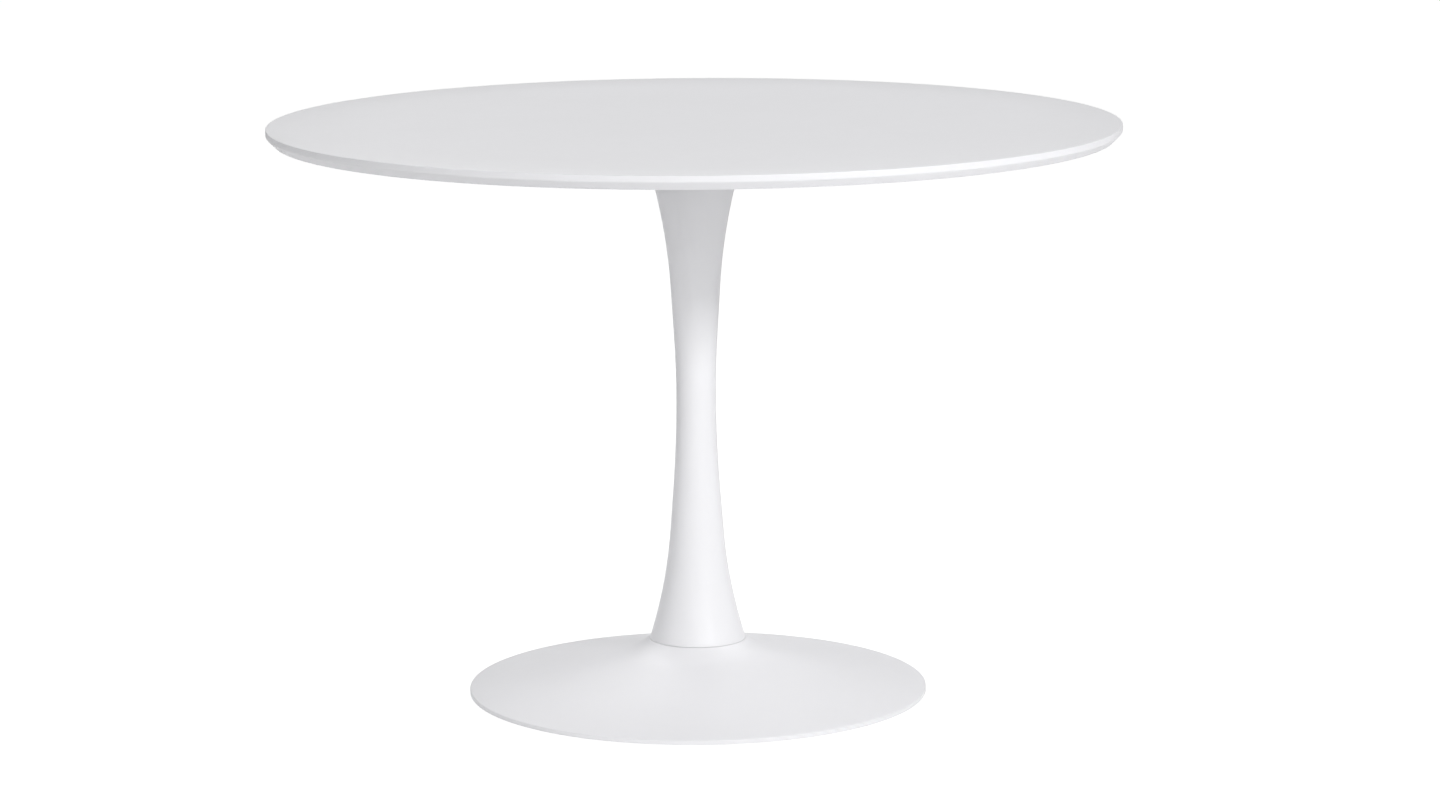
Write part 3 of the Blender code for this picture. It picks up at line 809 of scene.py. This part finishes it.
def casting_sole():
    """The casting's underside between the ribs, from its bore outwards, with cast fillets."""
    hub_wall = CASTING_HUB_RADIUS
    outline = [(ROD_BORE_RADIUS, CASTING_HUB_BOTTOM),
               (hub_wall, CASTING_HUB_BOTTOM),
               (hub_wall + CASTING_DRAFT, web_underside(hub_wall)),
               (CASTING_FOOT_INNER - CASTING_DRAFT, web_underside(CASTING_FOOT_INNER)),
               (CASTING_FOOT_INNER, CASTING_BOTTOM),
               (CASTING_RADIUS, CASTING_BOTTOM)]
    corners = {1: CASTING_EDGE, 2: CASTING_FILLET, 3: CASTING_FILLET, 4: CASTING_EDGE}
    soft = rounded(outline, corners, steps=FINE_ROUND_STEPS)
    made = []
    for start, end in zip(soft, soft[1:]):
        length = math.dist(start, end)
        pieces = max(1, round(length / CASTING_STEP))
        made += [start] + between(start, end, pieces)
    return made + [soft[-1]]


def rib_bottom(radius):
    """Height of a rib's lower edge: it falls from the hub's end to the foot ring's."""
    inner, outer = CASTING_HUB_RADIUS, CASTING_FOOT_INNER
    share = min(max((radius - inner) / (outer - inner), 0), 1)
    start, end = CASTING_HUB_BOTTOM + RIB_SINK, CASTING_BOTTOM + RIB_SINK
    return start + (end - start) * share


# Across a rib: distance from its middle in rib widths, and how fully the rib is there.
RIB_SECTION = ((0, 1), (0.28, 1), (0.40, 0.985), (0.46, 0.93), (0.56, 0.10), (0.66, 0.03),
               (0.90, 0))


def rib_columns(radius):
    """(angle, share of rib) over half the pitch between two ribs, from a rib's middle."""
    half_pitch = math.pi / RIB_COUNT
    near = [(math.asin(offset * RIB_WIDTH / radius), share) for offset, share in RIB_SECTION]
    squeeze = min(1, half_pitch * RIB_PITCH_SHARE / near[-1][0])
    near = [(angle * squeeze, share) for angle, share in near]
    start = near[-1][0]
    far = [(start + (half_pitch - start) * step / OPEN_STEPS, 0)
           for step in range(1, OPEN_STEPS + 1)]
    return near + far


def casting_ring(radius, height, is_sole):
    """One ring of the casting; on its underside it dips down at each rib."""
    lowered = min(height, rib_bottom(radius))
    inner, outer = CASTING_HUB_RADIUS - RIB_INNER_MARGIN, CASTING_FOOT_INNER + RIB_OUTER_MARGIN
    inside_ribs = is_sole and inner <= radius <= outer
    half = rib_columns(radius)
    across = [(-angle, share) for angle, share in reversed(half[1:-1])] + half
    points = []
    for number in range(RIB_COUNT):
        rib_angle = math.tau * (number + 0.5) / RIB_COUNT
        for angle, share in across:
            depth = share if inside_ribs else 0
            turn = rib_angle + angle
            points.append((radius * math.cos(turn), radius * math.sin(turn),
                           height + (lowered - height) * depth))
    return points


def make_base_casting(look):
    """The iron weight under the cover: a thick hub, a conical web, filleted ribs, a foot ring."""
    depth = COVER_WALL + SEAT_GAP
    upper = [(CASTING_RADIUS, cone_height(CASTING_RADIUS, depth))]
    upper += neck_curve(depth, CASTING_TOP, CASTING_NECK_STEPS) + [(ROD_BORE_RADIUS, CASTING_TOP)]
    rounds = [(radius, height, True) for radius, height in casting_sole()]
    rounds += [(radius, height, False) for radius, height in upper]
    bm = bmesh.new()
    rings = [[bm.verts.new(point) for point in casting_ring(*values)] for values in rounds]
    rings.append(rings[0])
    for inner, outer in zip(rings, rings[1:]):
        for side in range(len(inner)):
            after = (side + 1) % len(inner)
            bm.faces.new((inner[side], inner[after], outer[after], outer[side]))
    bmesh.ops.dissolve_degenerate(bm, dist=SLIVER_TOLERANCE, edges=bm.edges)
    casting = place("ribbed_casting", mesh_from(bm, "ribbed_casting"), look, "base_casting")
    glides = [middle(f"glide_{number}") for number in range(1, GLIDE_COUNT + 1)]
    cut(casting, shafts(glides, GLIDE_HOLE_RADIUS, CASTING_BOTTOM - CUT_PAST,
                        CASTING_BOTTOM + GLIDE_HOLE_DEPTH))


def make_glides(look):
    """Press-in floor glides: a pad with a rounded edge and a shallow dish round its gate mark."""
    top = heights("glide_1")[1]
    rim = len(GLIDE_SOLE)
    outline = [*GLIDE_SOLE, (GLIDE_RADIUS, 0), (GLIDE_RADIUS, GLIDE_THICKNESS),
               (GLIDE_STEM_RADIUS, GLIDE_THICKNESS), (GLIDE_STEM_RADIUS, top), (0, top)]
    outline = rounded(outline, {rim: GLIDE_EDGE, rim + 1: GLIDE_BACK_BREAK,
                                rim + 3: GLIDE_STEM_BREAK})
    for number in range(1, GLIDE_COUNT + 1):
        x, y = middle(f"glide_{number}")
        mesh = turned("pad_glide", outline, SMALL_SIDES)
        mesh.transform(Matrix.Translation((x, y, 0)))
        place(f"pad_glide_{number}", mesh, look, f"glide_{number}")


# ---------------------------------------------------------------- the nut and its washers
def make_clamp_washer(look):
    """The wide washer that presses the base up."""
    low, high = heights("clamp_washer")
    radius = half_width("clamp_washer")
    outline = [(ROD_BORE_RADIUS, low), (radius, low), (radius, high), (ROD_BORE_RADIUS, high)]
    outline = rounded(outline, {0: WASHER_CRISP, 1: WASHER_SOFT, 2: WASHER_CRISP})
    place("wide_washer", turned("wide_washer", outline, WASHER_SIDES), look, "clamp_washer")


def make_spring_washer(look):
    """A split ring of square wire."""
    low, high = heights("spring_washer")
    radius = half_width("spring_washer")
    outline = [(ROD_BORE_RADIUS, low), (radius, low), (radius, high), (ROD_BORE_RADIUS, high)]
    outline = rounded(outline, {0: SPRING_WASHER_BREAK, 1: WASHER_SOFT, 2: WASHER_SOFT,
                                3: SPRING_WASHER_BREAK})
    mesh = turned("split_washer", outline, WASHER_SIDES)
    washer = place("split_washer", mesh, look, "spring_washer")
    bm = bmesh.new()
    bmesh.ops.create_cube(bm, size=1)
    reach = 2 * radius
    bmesh.ops.scale(bm, verts=bm.verts, vec=(reach, SPRING_WASHER_SLOT, 3 * (high - low)))
    bmesh.ops.rotate(bm, verts=bm.verts, matrix=Matrix.Rotation(SPRING_WASHER_TILT, 3, "X"))
    bmesh.ops.translate(bm, verts=bm.verts, vec=(reach / 2, 0, (low + high) / 2))
    cut(washer, bm)


def make_nut(look):
    """A hexagon nut: both faces turned back to a cone at the corners, its bore countersunk."""
    low, high = heights("tie_rod_nut")
    corner = half_width("tie_rod_nut")
    hexagon = shafts([(0, 0)], corner, low, high, HEXAGON)
    bmesh.ops.rotate(hexagon, verts=hexagon.verts, matrix=Matrix.Rotation(math.pi / 2, 3, "Z"))
    nut = place("hex_nut", mesh_from(hexagon, "hex_nut"), look, "tie_rod_nut")
    face = corner * math.cos(math.pi / HEXAGON) * NUT_FACE_SHARE
    rise = (corner - face) * math.tan(NUT_CHAMFER_ANGLE)
    outside, mouth = corner + NUT_BLANK_PAST, NUT_BORE_RADIUS + NUT_COUNTERSINK
    blank = [(mouth, low), (face, low), (outside, low + rise), (outside, high - rise),
             (face, high), (mouth, high), (NUT_BORE_RADIUS, high - NUT_COUNTERSINK),
             (NUT_BORE_RADIUS, low + NUT_COUNTERSINK)]
    bm = bmesh.new()
    bm.from_mesh(turned("nut_blank", blank, WASHER_SIDES))
    cut(nut, bm, "INTERSECT")


# ---------------------------------------------------------------- studio
def direction(azimuth, elevation):
    """A unit vector; azimuth counts from the front (-Y) towards the right (+X)."""
    turn, lift = math.radians(azimuth), math.radians(elevation)
    level = math.cos(lift)
    return Vector((math.sin(turn) * level, -math.cos(turn) * level, math.sin(lift)))


def make_camera():
    """The camera of the photograph, by where it stands and how it is turned."""
    forward = Vector((math.sin(CAMERA_YAW) * math.cos(CAMERA_PITCH),
                      math.cos(CAMERA_YAW) * math.cos(CAMERA_PITCH),
                      -math.sin(CAMERA_PITCH)))
    level = Vector((math.cos(CAMERA_YAW), -math.sin(CAMERA_YAW), 0))
    upright = level.cross(forward)
    right = math.cos(CAMERA_ROLL) * level + math.sin(CAMERA_ROLL) * upright
    up = math.cos(CAMERA_ROLL) * upright - math.sin(CAMERA_ROLL) * level
    data = bpy.data.cameras.new("camera")
    data.lens = CAMERA_LENS_MM
    data.sensor_width = CAMERA_SENSOR_MM
    data.clip_end = CAMERA_SIGHT
    camera = bpy.data.objects.new("camera", data)
    turn = Matrix((right, up, -forward)).transposed().to_4x4()
    camera.matrix_world = Matrix.Translation(CAMERA_LOCATION) @ turn
    bpy.context.scene.collection.objects.link(camera)
    bpy.context.scene.camera = camera


def make_soft_box(name, azimuth, elevation, distance, width, height, radiance):
    """A rectangular lamp that faces the table. Its power follows from its area and radiance."""
    data = bpy.data.lights.new(name, "AREA")
    data.shape = "RECTANGLE"
    data.size, data.size_y = width, height
    data.energy = radiance * math.pi * width * height
    lamp = bpy.data.objects.new(name, data)
    lamp.visible_camera = False
    toward = direction(azimuth, elevation)
    lamp.location = toward * distance + Vector((0, 0, AIM_HEIGHT))
    lamp.rotation_mode = "QUATERNION"
    lamp.rotation_quaternion = toward.to_track_quat("Z", "Y")
    bpy.context.scene.collection.objects.link(lamp)


def world_maths(tree, operation, first, second):
    """A Math node of the world: sockets are linked, numbers are set."""
    node = tree.nodes.new("ShaderNodeMath")
    node.operation = operation
    for socket, value in zip(node.inputs, (first, second)):
        if isinstance(value, (int, float)):
            socket.default_value = value
        else:
            tree.links.new(value, socket)
    return node.outputs[0]


def make_world():
    """White at the horizon, brighter towards the front, and dark overhead."""
    world = bpy.data.worlds.new("studio")
    world.use_nodes = True
    tree = world.node_tree
    background = tree.nodes["Background"]
    place = tree.nodes.new("ShaderNodeTexCoord")
    parts = tree.nodes.new("ShaderNodeSeparateXYZ")
    climb = tree.nodes.new("ShaderNodeMapRange")
    tree.links.new(place.outputs["Generated"], parts.inputs[0])
    tree.links.new(parts.outputs["Z"], climb.inputs["Value"])
    for socket, value in {"From Min": WORLD_FADE_FROM, "From Max": WORLD_FADE_TO,
                          "To Min": 1.0, "To Max": 0.0}.items():
        climb.inputs[socket].default_value = value
    behind = world_maths(tree, "MINIMUM", parts.outputs["Y"], 0.0)
    front = world_maths(tree, "MULTIPLY", behind, -WORLD_FRONT_GLOW)
    glow = world_maths(tree, "ADD", front, WORLD_GLOW)
    strength = world_maths(tree, "MULTIPLY", glow, climb.outputs["Result"])
    tree.links.new(strength, background.inputs["Strength"])
    background.inputs["Color"].default_value = (1, 1, 1, 1)
    bpy.context.scene.world = world


def studio_surface(name, white):
    """The Principled surface of a new matt material that glows white."""
    look = bpy.data.materials.new(name)
    look.use_nodes = True
    surface = look.node_tree.nodes["Principled BSDF"]
    surface.inputs["Base Color"].default_value = (white, white, white, 1)
    surface.inputs["Roughness"].default_value = STUDIO_ROUGHNESS
    surface.inputs["Specular IOR Level"].default_value = 0.0
    surface.inputs["Emission Color"].default_value = (1, 1, 1, 1)
    return look, look.node_tree, surface


def glow_less_in_front(tree, surface, glow):
    """Pure white beside and behind the table, pale grey far in front of it.

    A view from behind then shows the white table against something."""
    place = tree.nodes.new("ShaderNodeNewGeometry")
    parts = tree.nodes.new("ShaderNodeSeparateXYZ")
    fall = tree.nodes.new("ShaderNodeMapRange")
    fall.interpolation_type = "SMOOTHSTEP"
    tree.links.new(place.outputs["Position"], parts.inputs[0])
    tree.links.new(parts.outputs["Y"], fall.inputs["Value"])
    for socket, value in {"From Min": -FRONT_FROM, "From Max": -FRONT_TO,
                          "To Min": glow, "To Max": glow * FRONT_SHARE}.items():
        fall.inputs[socket].default_value = value
    tree.links.new(fall.outputs["Result"], surface.inputs["Emission Strength"])


def show_from_above_only(tree, surface):
    """Makes a floor clear from below, so that views of the underside look through it."""
    clear = tree.nodes.new("ShaderNodeBsdfTransparent")
    side = tree.nodes.new("ShaderNodeNewGeometry")
    mixed = tree.nodes.new("ShaderNodeMixShader")
    tree.links.new(side.outputs["Backfacing"], mixed.inputs[0])
    tree.links.new(surface.outputs[0], mixed.inputs[1])
    tree.links.new(clear.outputs[0], mixed.inputs[2])
    tree.links.new(mixed.outputs[0], tree.nodes["Material Output"].inputs["Surface"])


def studio_piece(name, bm, look):
    """A piece of the studio: not part of the table."""
    mesh = bpy.data.meshes.new(name)
    bm.to_mesh(mesh)
    bm.free()
    mesh.materials.append(look)
    piece = bpy.data.objects.new(name, mesh)
    bpy.context.scene.collection.objects.link(piece)
    return piece


def floor_disc(name, look):
    """A large disc on the ground."""
    bm = bmesh.new()
    bmesh.ops.create_circle(bm, cap_ends=True, segments=FLOOR_SIDES, radius=FLOOR_RADIUS)
    return studio_piece(name, bm, look)


def only_seen(piece):
    """Keeps a piece of the studio in the picture but out of the light."""
    piece.visible_diffuse = piece.visible_glossy = piece.visible_shadow = False


def make_floor():
    """The white floor that the camera sees, and a second, unseen one that lights the table.

    They are apart because the photograph's ground is exposed to pure white, which would throw
    more light up at the table than it gets there."""
    look, tree, surface = studio_surface("floor", FLOOR_WHITE)
    glow_less_in_front(tree, surface, FLOOR_GLOW)
    show_from_above_only(tree, surface)
    only_seen(floor_disc("floor", look))
    look, tree, surface = studio_surface("floor_bounce", BOUNCE_WHITE)
    surface.inputs["Emission Strength"].default_value = BOUNCE_GLOW
    show_from_above_only(tree, surface)
    floor_disc("floor_bounce", look).visible_camera = False


def make_backdrop():
    """A white surround behind the table, for the picture only."""
    look, tree, surface = studio_surface("backdrop", 0.0)
    glow_less_in_front(tree, surface, BACKDROP_GLOW)
    bm = bmesh.new()
    bmesh.ops.create_uvsphere(bm, u_segments=BACKDROP_SIDES, v_segments=BACKDROP_RINGS,
                              radius=BACKDROP_RADIUS)
    only_seen(studio_piece("backdrop", bm, look))


# ---------------------------------------------------------------- all of it
def build():
    """Every piece with its finish."""
    zinc = zinc_steel()
    make_tabletop(top_lacquer())
    make_mounting_plate(plate_black_coat())
    make_screws(zinc)
    make_column(column_powder_coat())
    make_tie_rod(zinc)
    make_base_cover(base_powder_coat())
    make_base_casting(cast_iron())
    make_glides(glide_nylon())
    make_clamp_washer(zinc)
    make_spring_washer(zinc)
    make_nut(zinc)
    make_inserts(insert_brass())
    welded = welded_steel()
    make_plate_hub(welded)
    make_collars(welded)


build()
make_camera()
make_world()
for box_name, box_values in SOFT_BOXES.items():
    make_soft_box(box_name, *box_values)
make_floor()
make_backdrop()
bpy.context.scene.view_settings.view_transform = "Standard"
